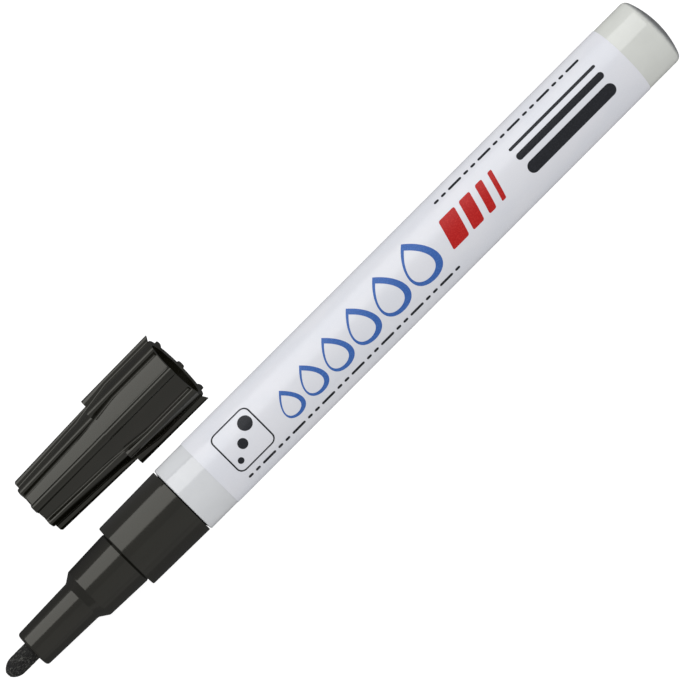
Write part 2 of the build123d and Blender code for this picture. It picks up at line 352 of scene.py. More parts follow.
@dataclass(frozen=True)
class LabelFilm:
    """White printed film with a fine coat and a trace of wrinkles from the wrapping."""

    name: str = "label_white_film"
    pale: Colour = linear(225, 226, 232)
    shade: Colour = linear(221, 223, 230)

    def material(self) -> bpy.types.Material:
        """Returns the finish as a material."""
        sketch = NodeSketch(self.name)
        cloud = sketch.noise(4.0, 3.0, 2.0)
        tooth = sketch.noise(0.08, 2.0)
        pull = sketch.noise(1.2, 2.0, 14.0)
        relief = sketch.math(
            "ADD", sketch.math("MULTIPLY", pull, 0.5), sketch.math("MULTIPLY", tooth, 0.2)
        )
        return sketch.finish(
            Base_Color=sketch.mix(sketch.spread(cloud, (0.35, 0.65)), self.pale, self.shade),
            Roughness=sketch.spread(tooth, (0.3, 0.7), (0.2, 0.28)),
            Normal=sketch.relief(relief, 0.004, 0.3),
        )


@dataclass(frozen=True)
class Ink:
    """Printing ink that covers the film a little unevenly."""

    name: str
    full: Colour
    thin: Colour

    def material(self) -> bpy.types.Material:
        """Returns the finish as a material."""
        sketch = NodeSketch(self.name)
        mottle = sketch.noise(0.22, 3.0)
        return sketch.finish(
            Base_Color=sketch.mix(sketch.spread(mottle, (0.4, 0.75)), self.full, self.thin),
            Roughness=sketch.spread(mottle, (0.3, 0.7), (0.3, 0.42)),
            Normal=sketch.relief(mottle, 0.002, 0.3),
            Specular_IOR_Level=0.25,
        )


@dataclass(frozen=True)
class SoakedFibre:
    """Felted fibre soaked with black paint: pale hair ends on a black, pitted ground."""

    name: str = "nib_soaked_fibre"
    ground: Colour = linear(22, 22, 21)
    hair: Colour = linear(96, 96, 92)

    def material(self) -> bpy.types.Material:
        """Returns the finish as a material."""
        sketch = NodeSketch(self.name)
        strand = sketch.noise(0.14, 3.0, 3.0)
        clump = sketch.noise(0.42, 3.0)
        pale_ends = sketch.spread(strand, (0.45, 0.7))
        share = sketch.math("MULTIPLY", pale_ends, sketch.spread(clump, (0.35, 0.65)))
        relief = sketch.math("ADD", strand, sketch.math("MULTIPLY", clump, 0.8))
        return sketch.finish(
            Base_Color=sketch.mix(share, self.ground, self.hair),
            Roughness=sketch.spread(clump, (0.3, 0.7), (0.62, 0.9)),
            Normal=sketch.relief(relief, 0.05, 0.7),
            Specular_IOR_Level=0.2,
        )


@dataclass(frozen=True)
class NaturalPlastic:
    """Unpigmented plastic of the valve, waxy and faintly cloudy."""

    name: str
    clear: Colour
    milky: Colour
    waxy: float = 0.0

    def material(self) -> bpy.types.Material:
        """Returns the finish as a material."""
        sketch = NodeSketch(self.name)
        cloud = sketch.noise(1.1, 3.0, 2.0)
        skin = sketch.noise(0.12, 2.0)
        return sketch.finish(
            Base_Color=sketch.mix(sketch.spread(cloud, (0.3, 0.7)), self.clear, self.milky),
            Roughness=sketch.spread(skin, (0.3, 0.7), (0.38, 0.52)),
            Normal=sketch.relief(skin, 0.006, 0.4),
            Subsurface_Weight=self.waxy,
            Subsurface_Radius=(0.0012, 0.001, 0.0008),
        )


@dataclass(frozen=True)
class Steel:
    """Bare steel with drawn or rolled marks."""

    name: str
    bright: Colour
    dull: Colour
    gloss: Corner
    mark_size: float
    mark_stretch: float = 1.0

    def material(self) -> bpy.types.Material:
        """Returns the finish as a material."""
        sketch = NodeSketch(self.name)
        mark = sketch.noise(self.mark_size, 3.0, self.mark_stretch)
        return sketch.finish(
            Base_Color=sketch.mix(sketch.spread(mark, (0.35, 0.65)), self.bright, self.dull),
            Metallic=1.0,
            Roughness=sketch.spread(mark, (0.3, 0.7), self.gloss),
            Normal=sketch.relief(mark, 0.003, 0.4),
        )


class Workbench:
    """Hand moves in Blender's edit mode that several pieces share, in millimetres."""

    NEAR = 1e-3

    @staticmethod
    def add(name: str, primitive: Callable[..., object], **sizes: object) -> bpy.types.Object:
        """Adds a primitive with nothing else selected.

        Args:
            name: Name of the new piece.
            primitive: The operator that adds it.
            sizes: The operator's sizes and place.

        Returns:
            The new piece, in object mode.
        """
        bpy.ops.object.select_all(action="DESELECT")
        primitive(**sizes)
        piece = bpy.context.active_object
        piece.name = piece.data.name = name
        return piece

    @staticmethod
    def mode(mode: str) -> None:
        """Switches the active piece to EDIT mode, where vertices are picked, or to OBJECT mode."""
        bpy.ops.object.mode_set(mode=mode)
        if mode == "EDIT":
            bpy.ops.mesh.select_mode(type="VERT")

    @classmethod
    def pick(cls, piece: bpy.types.Object, test: Callable[[Vector], bool]) -> None:
        """Selects, in edit mode, the vertices whose place passes a test.

        Args:
            piece: The piece in edit mode.
            test: Says whether a place is picked.
        """
        bpy.ops.mesh.select_mode(type="VERT")
        bpy.ops.mesh.select_all(action="DESELECT")
        mesh = bmesh.from_edit_mesh(piece.data)
        for vertex in mesh.verts:
            if test(vertex.co):
                vertex.select_set(True)
        mesh.select_flush_mode()
        bmesh.update_edit_mesh(piece.data)

    @classmethod
    def pick_at(cls, piece: bpy.types.Object, *places: Vector) -> None:
        """Selects the vertices at the given places."""
        cls.pick(piece, lambda spot: any((spot - place).length < cls.NEAR for place in places))

    @classmethod
    def outline(cls, name: str, corners: Sequence[Corner], closed: bool = True) -> bpy.types.Object:
        """Draws an outline in the XZ plane, corner by corner, from one point.

        Args:
            name: Name of the new piece.
            corners: The outline's corners, along X and up Z.
            closed: Whether the last corner is joined to the first.

        Returns:
            The piece, left in edit mode with its outline.
        """
        piece = cls.add(name, bpy.ops.mesh.primitive_plane_add, size=1)
        cls.mode("EDIT")
        bpy.ops.mesh.merge(type="CENTER")
        spots = [Vector((along, 0, upright)) for along, upright in corners]
        bpy.ops.transform.translate(value=spots[0])
        for near, far in zip(spots, spots[1:]):
            bpy.ops.mesh.extrude_region_move(TRANSFORM_OT_translate={"value": far - near})
        if closed:
            cls.pick_at(piece, spots[0], spots[-1])
            bpy.ops.mesh.edge_face_add()
        return piece

    @staticmethod
    def arc(centre: Corner, radius: float, start: float, end: float, edges: int) -> list[Corner]:
        """Works out the points of an arc in the XZ plane.

        Args:
            centre: The arc's centre, along X and up Z.
            radius: Its radius.
            start: The angle where it starts, from X towards Z.
            end: The angle where it ends.
            edges: Edges along it.

        Returns:
            The points, both ends among them.
        """
        angles = (start + (end - start) * edge / edges for edge in range(edges + 1))
        return [(centre[0] + radius * math.cos(a), centre[1] + radius * math.sin(a)) for a in angles]

    @classmethod
    def soften(cls, piece: bpy.types.Object, rounds: dict[Corner, float], segments: int = 4) -> None:
        """Rounds corners of a drawn outline.

        Args:
            piece: The piece in edit mode.
            rounds: How far from each corner its round starts.
            segments: Edges in a round.
        """
        for (along, upright), reach in rounds.items():
            cls.pick_at(piece, Vector((along, 0, upright)))
            bpy.ops.mesh.bevel(offset=reach, segments=segments, affect="VERTICES")

    @classmethod
    def spin(cls, piece: bpy.types.Object, steps: int, sweep: float = TURN) -> None:
        """Turns the outline of a piece in edit mode about the X axis and closes the seam.

        Args:
            piece: The piece in edit mode.
            steps: Steps round the axis.
            sweep: Angle of the turn.
        """
        bpy.ops.mesh.select_all(action="SELECT")
        bpy.ops.mesh.spin(steps=steps, angle=sweep, center=(0, 0, 0), axis=(1, 0, 0))
        bpy.ops.mesh.select_all(action="SELECT")
        bpy.ops.mesh.remove_doubles(threshold=cls.NEAR)
        bpy.ops.mesh.normals_make_consistent(inside=False)

    @staticmethod
    def apply(piece: bpy.types.Object, kind: str, **settings: object) -> None:
        """Adds a modifier to a piece in object mode and applies it.

        Args:
            piece: The piece.
            kind: The modifier's type.
            settings: Its properties.
        """
        modifier = piece.modifiers.new(kind.title(), kind)
        for key, value in settings.items():
            setattr(modifier, key, value)
        bpy.context.view_layer.objects.active = piece
        bpy.ops.object.modifier_apply(modifier=modifier.name)

    @staticmethod
    def join(whole: bpy.types.Object, others: Sequence[bpy.types.Object]) -> None:
        """Joins other pieces into one, in object mode."""
        bpy.ops.object.select_all(action="DESELECT")
        for piece in (*others, whole):
            piece.select_set(True)
        bpy.context.view_layer.objects.active = whole
        bpy.ops.object.join()

    @staticmethod
    def done(
        piece: bpy.types.Object, material: bpy.types.Material, slot: Slot, body: Body,
        replaced: Solid | None = None, smooth: float = 35.0,
    ) -> bpy.types.Object:
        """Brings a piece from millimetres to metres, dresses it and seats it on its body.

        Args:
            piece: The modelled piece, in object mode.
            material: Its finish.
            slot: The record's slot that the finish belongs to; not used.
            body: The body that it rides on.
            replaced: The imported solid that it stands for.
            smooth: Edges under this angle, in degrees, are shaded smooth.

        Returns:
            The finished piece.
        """
        bpy.ops.object.select_all(action="DESELECT")
        piece.select_set(True)
        bpy.context.view_layer.objects.active = piece
        bpy.ops.object.transform_apply(location=True, rotation=True, scale=True)
        piece.data.transform(Matrix.Scale(MM, 4))
        bpy.ops.object.shade_smooth_by_angle(angle=math.radians(smooth))
        Workbench.apply(piece, "WEIGHTED_NORMAL", weight=100, keep_sharp=True)
        piece.data.materials.clear()
        piece.data.materials.append(material)
        if replaced:
            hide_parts(replaced.value)
        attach(piece, body.value)
        faces = len(piece.data.polygons)
        LOG.info("%s on %s: %d faces, finish %s", piece.name, body.value, faces, material.name)
        return piece


@dataclass
class Barrel:
    """The drawn tube: a rolled lip at its open front and a crowned bottom."""

    wall: float = 0.4
    bottom: float = 0.6
    lip_round: float = 0.25
    crown_radius: float = 14.5
    corner_radius: float = 1.0
    crown_edges: int = 12
    corner_edges: int = 10
    steps: int = 160

    def build(self, lacquer: bpy.types.Material) -> None:
        """Turns the tube with its bore and dresses it.

        Args:
            lacquer: The tube's finish.
        """
        low, high = Solid.BARREL.box()
        radius = high.z
        bore = radius - self.wall
        crown_middle = high.x - self.crown_radius
        inside_end = crown_middle + math.sqrt(self.crown_radius**2 - radius**2) - self.bottom
        inset = self.crown_radius - self.corner_radius
        corner_height = radius - self.corner_radius
        meeting = math.asin(corner_height / inset)
        corner_middle = (crown_middle + inset * math.cos(meeting), corner_height)
        crown = Workbench.arc((crown_middle, 0), self.crown_radius, 0, meeting, self.crown_edges)
        corner = Workbench.arc(corner_middle, self.corner_radius, meeting, math.pi / 2, self.corner_edges)
        lip = (low.x, radius)
        mouth = (low.x, bore)
        corners = (*crown, *corner[1:], lip, mouth, (inside_end, bore), (inside_end, 0))
        tube = Workbench.outline("drawn_barrel", corners, closed=False)
        Workbench.soften(tube, {lip: self.lip_round}, segments=6)
        Workbench.spin(tube, self.steps)
        Workbench.mode("OBJECT")
        Workbench.done(tube, lacquer, Slot.BARREL, Body.MARKER, Solid.BARREL)


@dataclass
class FrontHolder:
    """The black nose moulding: collar, cap seat, cone and front tube, with its spigot and bores."""

    tube_length: float = 10.17
    cone_length: float = 1.46
    seat_length: float = 7.54
    spigot_length: float = 9.0
    nose_radius: float = 3.095
    tube_radius: float = 3.39
    seat_front_radius: float = 4.37
    seat_radius: float = 4.625
    root_groove: Corner = (0.36, 0.1)
    rear_gap: Corner = (0.18, 4.9)
    collar_front_radius: float = 5.64
    spigot_radius: float = 5.48
    nib_hole: float = 1.575
    front_wall: float = 1.5
    tube_bore: float = 2.25
    neck_bore: float = 3.4
    valve_bore: float = 4.32
    valve_depth: float = 15.0
    guide_count: int = 4
    guide_width: float = 0.8
    guide_root: float = 0.2
    nose_round: float = 0.5
    cone_round: float = 0.2
    seat_round: float = 0.12
    groove_round: float = 0.05
    collar_round: float = 0.22
    back_round: float = 0.06
    spigot_round: float = 0.4
    hole_round: float = 0.08
    steps: int = 112

    def build(self, plastic: bpy.types.Material) -> None:
        """Turns the moulding, sets the nib's guides in its bore and dresses it.

        Args:
            plastic: The moulding's finish.
        """
        low, high = Solid.HOLDER.box()
        front, rear = low.x, high.x
        tube_rear = front + self.tube_length
        seat_front = tube_rear + self.cone_length
        collar_front = seat_front + self.seat_length
        collar_rear = rear - self.spigot_length
        wall_rear = front + self.front_wall
        valve_front = rear - self.valve_depth
        nose_edge = (front, self.nose_radius)
        cone_foot = (tube_rear, self.tube_radius)
        seat_edge = (seat_front, self.seat_front_radius)
        groove_width, groove_depth = self.root_groove
        groove_edge = (collar_front - groove_width, self.seat_radius)
        groove_floor = self.seat_radius - groove_depth
        collar_edge = (collar_front, self.collar_front_radius)
        gap_width, gap_floor = self.rear_gap
        collar_back = (collar_rear - gap_width, high.z)
        spigot_edge = (rear, self.spigot_radius)
        hole_edge = (front, self.nib_hole)
        corners = (
            hole_edge, nose_edge, cone_foot, seat_edge, groove_edge, (collar_front, groove_floor),
            collar_edge, collar_back, (collar_back[0], gap_floor), (collar_rear, self.spigot_radius),
            spigot_edge, (rear, self.valve_bore), (valve_front, self.valve_bore),
            (valve_front, self.neck_bore), (seat_front, self.neck_bore), (seat_front, self.tube_bore),
            (wall_rear, self.tube_bore), (wall_rear, self.nib_hole),
        )
        holder = Workbench.outline("nose_moulding", corners)
        Workbench.soften(holder, {
            nose_edge: self.nose_round, cone_foot: self.cone_round, seat_edge: self.seat_round,
            groove_edge: self.groove_round, collar_edge: self.collar_round,
            collar_back: self.back_round, spigot_edge: self.spigot_round,
            hole_edge: self.hole_round,
        })
        Workbench.spin(holder, self.steps)
        Workbench.mode("OBJECT")
        guides = [self.guide(turn, wall_rear, seat_front) for turn in range(self.guide_count)]
        Workbench.join(holder, guides)
        Workbench.done(holder, plastic, Slot.MOULDING, Body.MARKER, Solid.HOLDER)

    def guide(self, turn: int, front: float, rear: float) -> bpy.types.Object:
        """Models one rib of the tube's bore that keeps the nib central.

        Args:
            turn: Which of the ribs it is.
            front: Where it starts.
            rear: Where it ends.

        Returns:
            The rib, in its place.
        """
        height = self.tube_bore + self.guide_root - self.nib_hole
        rib = Workbench.add("nose_guide", bpy.ops.mesh.primitive_cube_add, size=1)
        Workbench.mode("EDIT")
        bpy.ops.transform.resize(value=(rear - front, height, self.guide_width))
        bpy.ops.transform.translate(value=((front + rear) / 2, self.nib_hole + height / 2, 0))
        bpy.ops.transform.rotate(
            value=turn * TURN / self.guide_count, orient_axis="X", center_override=(0, 0, 0)
        )
        Workbench.mode("OBJECT")
        return rib


@dataclass
class FibreNib:
    """The bullet-tipped fibre rod."""

    ogive_length: float = 2.0
    point_radius: float = 0.45
    shown_length: float = 7.0
    ogive_edges: int = 14
    rings: int = 48
    steps: int = 72
    point_round: float = 0.12
    tangle_size: float = 0.3
    tangle_height: float = 0.07
    tangle_level: float = 0.62
    tangle_margin: float = 0.1

    def build(self, fibre: bpy.types.Material) -> None:
        """Turns the rod, roughens its shown end into fibres and dresses it.

        Args:
            fibre: The nib's finish.
        """
        low, high = Solid.NIB.box()
        radius = high.z
        drop = radius - self.point_radius
        bow = (drop**2 + self.ogive_length**2) / (2 * drop)
        foot = low.x + self.ogive_length
        ogive = []
        for edge in range(self.ogive_edges + 1):
            back = self.ogive_length * (1 - math.sin(edge / self.ogive_edges * math.pi / 2))
            swell = math.sqrt(bow**2 - (self.ogive_length - back) ** 2)
            ogive.append((low.x + back, radius - bow + swell))
        shown_end = low.x + self.shown_length
        corners = ((high.x, 0), (high.x, radius), (shown_end, radius), *ogive, (low.x, 0))
        nib = Workbench.outline("fibre_nib", corners, closed=False)
        Workbench.soften(nib, {ogive[-1]: self.point_round})
        Workbench.pick_at(nib, Vector((shown_end, 0, radius)), Vector((foot, 0, radius)))
        bpy.ops.mesh.subdivide(number_cuts=self.rings)
        Workbench.spin(nib, self.steps)
        Workbench.mode("OBJECT")
        group = nib.vertex_groups.new(name="shown")
        tangle_end = shown_end - self.tangle_margin
        group.add([v.index for v in nib.data.vertices if v.co.x < tangle_end], 1.0, "REPLACE")
        tangle = bpy.data.textures.new("fibre_tangle", "CLOUDS")
        tangle.noise_scale = self.tangle_size
        tangle.noise_depth = 3
        Workbench.apply(
            nib, "DISPLACE", texture=tangle, texture_coords="LOCAL", vertex_group=group.name,
            strength=self.tangle_height, mid_level=self.tangle_level,
        )
        Workbench.done(nib, fibre, Slot.NIB, Body.PLUNGER, Solid.NIB, smooth=60.0)


@dataclass
class RibbedCap:
    """The black cap: a skirt that flares from a tapered core, with ribs that rise into fins on it.

    It is modelled level, with its mouth at the origin and its closed end towards -X, and then tipped.
    """

    tilt: float = math.radians(8.4)
    length: float = 28.68
    skirt_radius: float = 5.535
    skirt_length: float = 13.3
    flare_start: float = 9.0
    flare_end: float = 16.0
    core_radius: float = 4.56
    end_radius: float = 3.92
    bore: float = 4.745
    bore_depth: float = 8.44
    lead_in: float = 0.25
    throat_depth: float = 14.3
    throat_radius: float = 3.41
    seal_depth: float = 19.32
    seal_radius: float = 2.94
    hollow_depth: float = 27.58
    rib_count: int = 8
    rib_width: float = 1.34
    rib_foot: float = 0.18
    rib_sink: float = 0.03
    rib_root: float = 0.3
    back_edges: int = 16
    back_square: float = 0.6
    rib_step_radius: float = 5.37
    rib_end_radius: float = 4.95
    fin_radius: float = 6.425
    fin_step_radius: float = 6.335
    fin_overhang: float = 0.22
    fin_slant: float = 0.35
    end_chamfer: float = 0.2
    rim_round: float = 0.1
    mouth_round: float = 0.06
    end_round: float = 0.3
    flare_top_round: float = 1.2
    flare_foot_round: float = 3.0
    foot_share: float = 0.55
    steps: int = 160

    def build(self, plastic: bpy.types.Material) -> None:
        """Turns the core, sets the ribs round it, tips the cap to its place and dresses it.

        Args:
            plastic: The cap's finish.
        """
        cap = self.core()
        ribs = [self.rib(turn) for turn in range(self.rib_count)]
        Workbench.join(cap, ribs)
        low, high = Solid.CAP.box()
        reach_x = self.fin_radius * math.sin(self.tilt) + self.fin_overhang * math.cos(self.tilt)
        reach_z = self.fin_radius * math.cos(self.tilt) + self.fin_overhang * math.sin(self.tilt)
        mouth = Vector((high.x - reach_x, (low.y + high.y) / 2, high.z - reach_z))
        cap.matrix_world = Matrix.Translation(mouth) @ Matrix.Rotation(-self.tilt, 4, "Y")
        Workbench.done(cap, plastic, Slot.MOULDING, Body.CAP, Solid.CAP)
        cap.visible_diffuse = cap.visible_shadow = False

    def core(self) -> bpy.types.Object:
        """Turns the skirt, the flare and the core, with the hollow for the nose and the inner cap.

        Returns:
            The core, level, with its mouth at the origin.
        """
        rim = (0, self.skirt_radius)
        mouth_edge = (0, self.bore + self.lead_in)
        flare_top = (-self.flare_start, self.skirt_radius)
        flare_foot = (-self.flare_end, self.core_radius)
        end_edge = (-self.length, self.end_radius)
        corners = (
            (-self.length, 0), end_edge, flare_foot, flare_top, rim, mouth_edge,
            (-self.lead_in, self.bore), (-self.bore_depth, self.bore),
            (-self.throat_depth, self.throat_radius), (-self.seal_depth, self.throat_radius),
            (-self.seal_depth, self.seal_radius), (-self.hollow_depth, self.seal_radius),
            (-self.hollow_depth, 0),
        )
        core = Workbench.outline("ribbed_cap", corners, closed=False)
        edges = {rim: self.rim_round, mouth_edge: self.mouth_round, end_edge: self.end_round}
        Workbench.soften(core, edges)
        flare = {flare_top: self.flare_top_round, flare_foot: self.flare_foot_round}
        Workbench.soften(core, flare, segments=10)
        Workbench.spin(core, self.steps)
        Workbench.mode("OBJECT")
        return core

    def rib(self, turn: int) -> bpy.types.Object:
        """Models one rib with its fin, as a straight bead that is then fitted to the core.

        Args:
            turn: Which of the ribs it is.

        Returns:
            The rib, level, at its place round the core.
        """
        stations = self.stations()
        rib = Workbench.outline("cap_rib", self.section())
        bpy.ops.mesh.select_all(action="SELECT")
        bpy.ops.mesh.edge_face_add()
        for _ in stations[1:]:
            bpy.ops.mesh.extrude_region_move(TRANSFORM_OT_translate={"value": (0, 1, 0)})
        Workbench.mode("OBJECT")
        for vertex in rib.data.vertices:
            across, step, upright = vertex.co
            foot_at, back_at, core, back = stations[round(step)]
            rise = back - core
            squeeze = min(1.0, self.foot_share * rise / self.rib_foot)
            share = max(0.0, upright - self.rib_foot)
            height = squeeze * min(upright, self.rib_foot) + share * (rise - squeeze * self.rib_foot)
            lean = max(0.0, height / rise)
            sink = self.rib_sink * (1 - lean)
            sag = max(0.0, across**2 - (self.rib_width / 2) ** 2) / (2 * core) + sink
            vertex.co = (foot_at + (back_at - foot_at) * lean, across, core + height - sag)
        Workbench.mode("EDIT")
        bpy.ops.mesh.select_all(action="SELECT")
        bpy.ops.mesh.remove_doubles(threshold=Workbench.NEAR)
        bpy.ops.mesh.normals_make_consistent(inside=False)
        bpy.ops.transform.rotate(
            value=turn * TURN / self.rib_count, orient_axis="X", center_override=(0, 0, 0)
        )
        Workbench.mode("OBJECT")
        return rib

    def section(self) -> list[Corner]:
        """Works out a rib's section for a back that stands 1 mm above the rounds of its foot.

        Returns:
            The section's points, across the rib and up from the core.
        """
        half, foot = self.rib_width / 2, self.rib_foot
        root = (-half - foot, -self.rib_root)
        side = [root, *Workbench.arc((-half - foot, foot), foot, -math.pi / 2, 0, 3)]
        circle = Workbench.arc((0, 0), 1, math.pi, 0, self.back_edges)[1:-1]
        square = self.back_square
        back = [(half * math.copysign(abs(x) ** square, x), foot + z**square) for x, z in circle]
        return [*side, *back, *((-x, z) for x, z in reversed(side))]

    def stations(self) -> list[tuple[float, float, float, float]]:
        """Lists the places along the cap where a rib or the core changes its slope.

        Returns:
            For each, where the rib's foot and back are along the cap, and the radii of core and back.
        """
        core = ((-self.length, -self.flare_end, -self.flare_start, 0),
                (self.end_radius, self.core_radius, self.skirt_radius, self.skirt_radius))
        fin = ((-self.skirt_length, self.fin_overhang), (self.fin_step_radius, self.fin_radius))
        rib = ((-self.length, -self.skirt_length), (self.rib_end_radius, self.rib_step_radius))
        places = (
            (-self.flare_start, fin), (-self.skirt_length, fin), (-self.skirt_length, rib),
            (-self.flare_end, rib), (-self.length + self.end_chamfer, rib),
        )
        front = (-self.fin_slant, self.fin_overhang, self.skirt_radius, self.fin_radius)
        middle = [(at, at, np.interp(at, *core), np.interp(at, *back)) for at, back in places]
        end = (-self.length, -self.length, self.end_radius, self.rib_end_radius - self.end_chamfer)
        return [front, *middle, end]


@dataclass
class ValveSpring:
    """The round-wire spring behind the valve rod's head."""

    wire: float = 0.2
    winding: float = 1.75
    turns: int = 5
    sides: int = 12
    steps: int = 40
    travel: float = 1.5

    def build(self, steel: bpy.types.Material) -> None:
        """Winds the wire, closes its ends, dresses it and gives it a mesh of its own.

        Args:
            steel: The wire's finish.
        """
        low, high = Solid.SPRING.box()
        front, rear = low.x + self.wire, high.x - self.wire
        spring = Workbench.add(
            "round_wire_spring", bpy.ops.mesh.primitive_circle_add, vertices=self.sides,
            radius=self.wire, fill_type="NGON", rotation=(math.pi / 2, 0, 0),
            location=(front, 0, self.winding),
        )
        bpy.ops.object.transform_apply(location=True, rotation=True)
        Workbench.mode("EDIT")
        bpy.ops.mesh.delete(type="ONLY_FACE")
        Workbench.mode("OBJECT")
        Workbench.apply(
            spring, "SCREW", axis="X", angle=TURN, iterations=self.turns, steps=self.steps,
            render_steps=self.steps, screw_offset=(rear - front) / self.turns, use_merge_vertices=True,
        )
        Workbench.mode("EDIT")
        bpy.ops.mesh.select_all(action="SELECT")
        bpy.ops.mesh.fill_holes(sides=self.sides)
        bpy.ops.mesh.select_all(action="SELECT")
        bpy.ops.mesh.normals_make_consistent(inside=False)
        Workbench.mode("OBJECT")
        Workbench.done(spring, steel, Slot.SPRING, Body.MARKER, Solid.SPRING, smooth=50.0)
        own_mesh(spring)


@dataclass
class Label:
    """The printed film round the barrel, with its overlap on the underside."""

    flap_sweep: float = math.radians(14)
    flap_at: float = math.radians(205)
    flap_film: float = 0.04
    inner_radius: float = 5.92
    outer_radius: float = 5.97
    steps: int = 160
    flap_steps: int = 8

    def build(self, film: bpy.types.Material) -> None:
        """Wraps the film, laps its end over its start and dresses it.

        Args:
            film: The film's finish.
        """
        low, high = Solid.LABEL.box()
        wrap = self.band("label_wrap", low.x, high.x, self.inner_radius, self.outer_radius)
        Workbench.spin(wrap, self.steps)
        Workbench.mode("OBJECT")
        flap_face = self.outer_radius + self.flap_film
        flap = self.band("label_flap", low.x, high.x, self.outer_radius, flap_face)
        Workbench.spin(flap, self.flap_steps, self.flap_sweep)
        bpy.ops.mesh.select_all(action="SELECT")
        bpy.ops.mesh.fill_holes(sides=0)
        bpy.ops.mesh.select_all(action="SELECT")
        bpy.ops.mesh.normals_make_consistent(inside=False)
        bpy.ops.transform.rotate(value=self.flap_at, orient_axis="X", center_override=(0, 0, 0))
        Workbench.mode("OBJECT")
        Workbench.join(wrap, [flap])
        Workbench.done(wrap, film, Slot.LABEL, Body.MARKER, Solid.LABEL)

    @staticmethod
    def band(name: str, front: float, rear: float, inner: float, outer: float) -> bpy.types.Object:
        """Draws the film's section, ready to be turned.

        Args:
            name: Name of the piece.
            front: Where the film starts.
            rear: Where it ends.
            inner: Radius of its back.
            outer: Radius of its face.

        Returns:
            The section, in edit mode.
        """
        corners = ((front, inner), (front, outer), (rear, outer), (rear, inner))
        return Workbench.outline(name, corners)


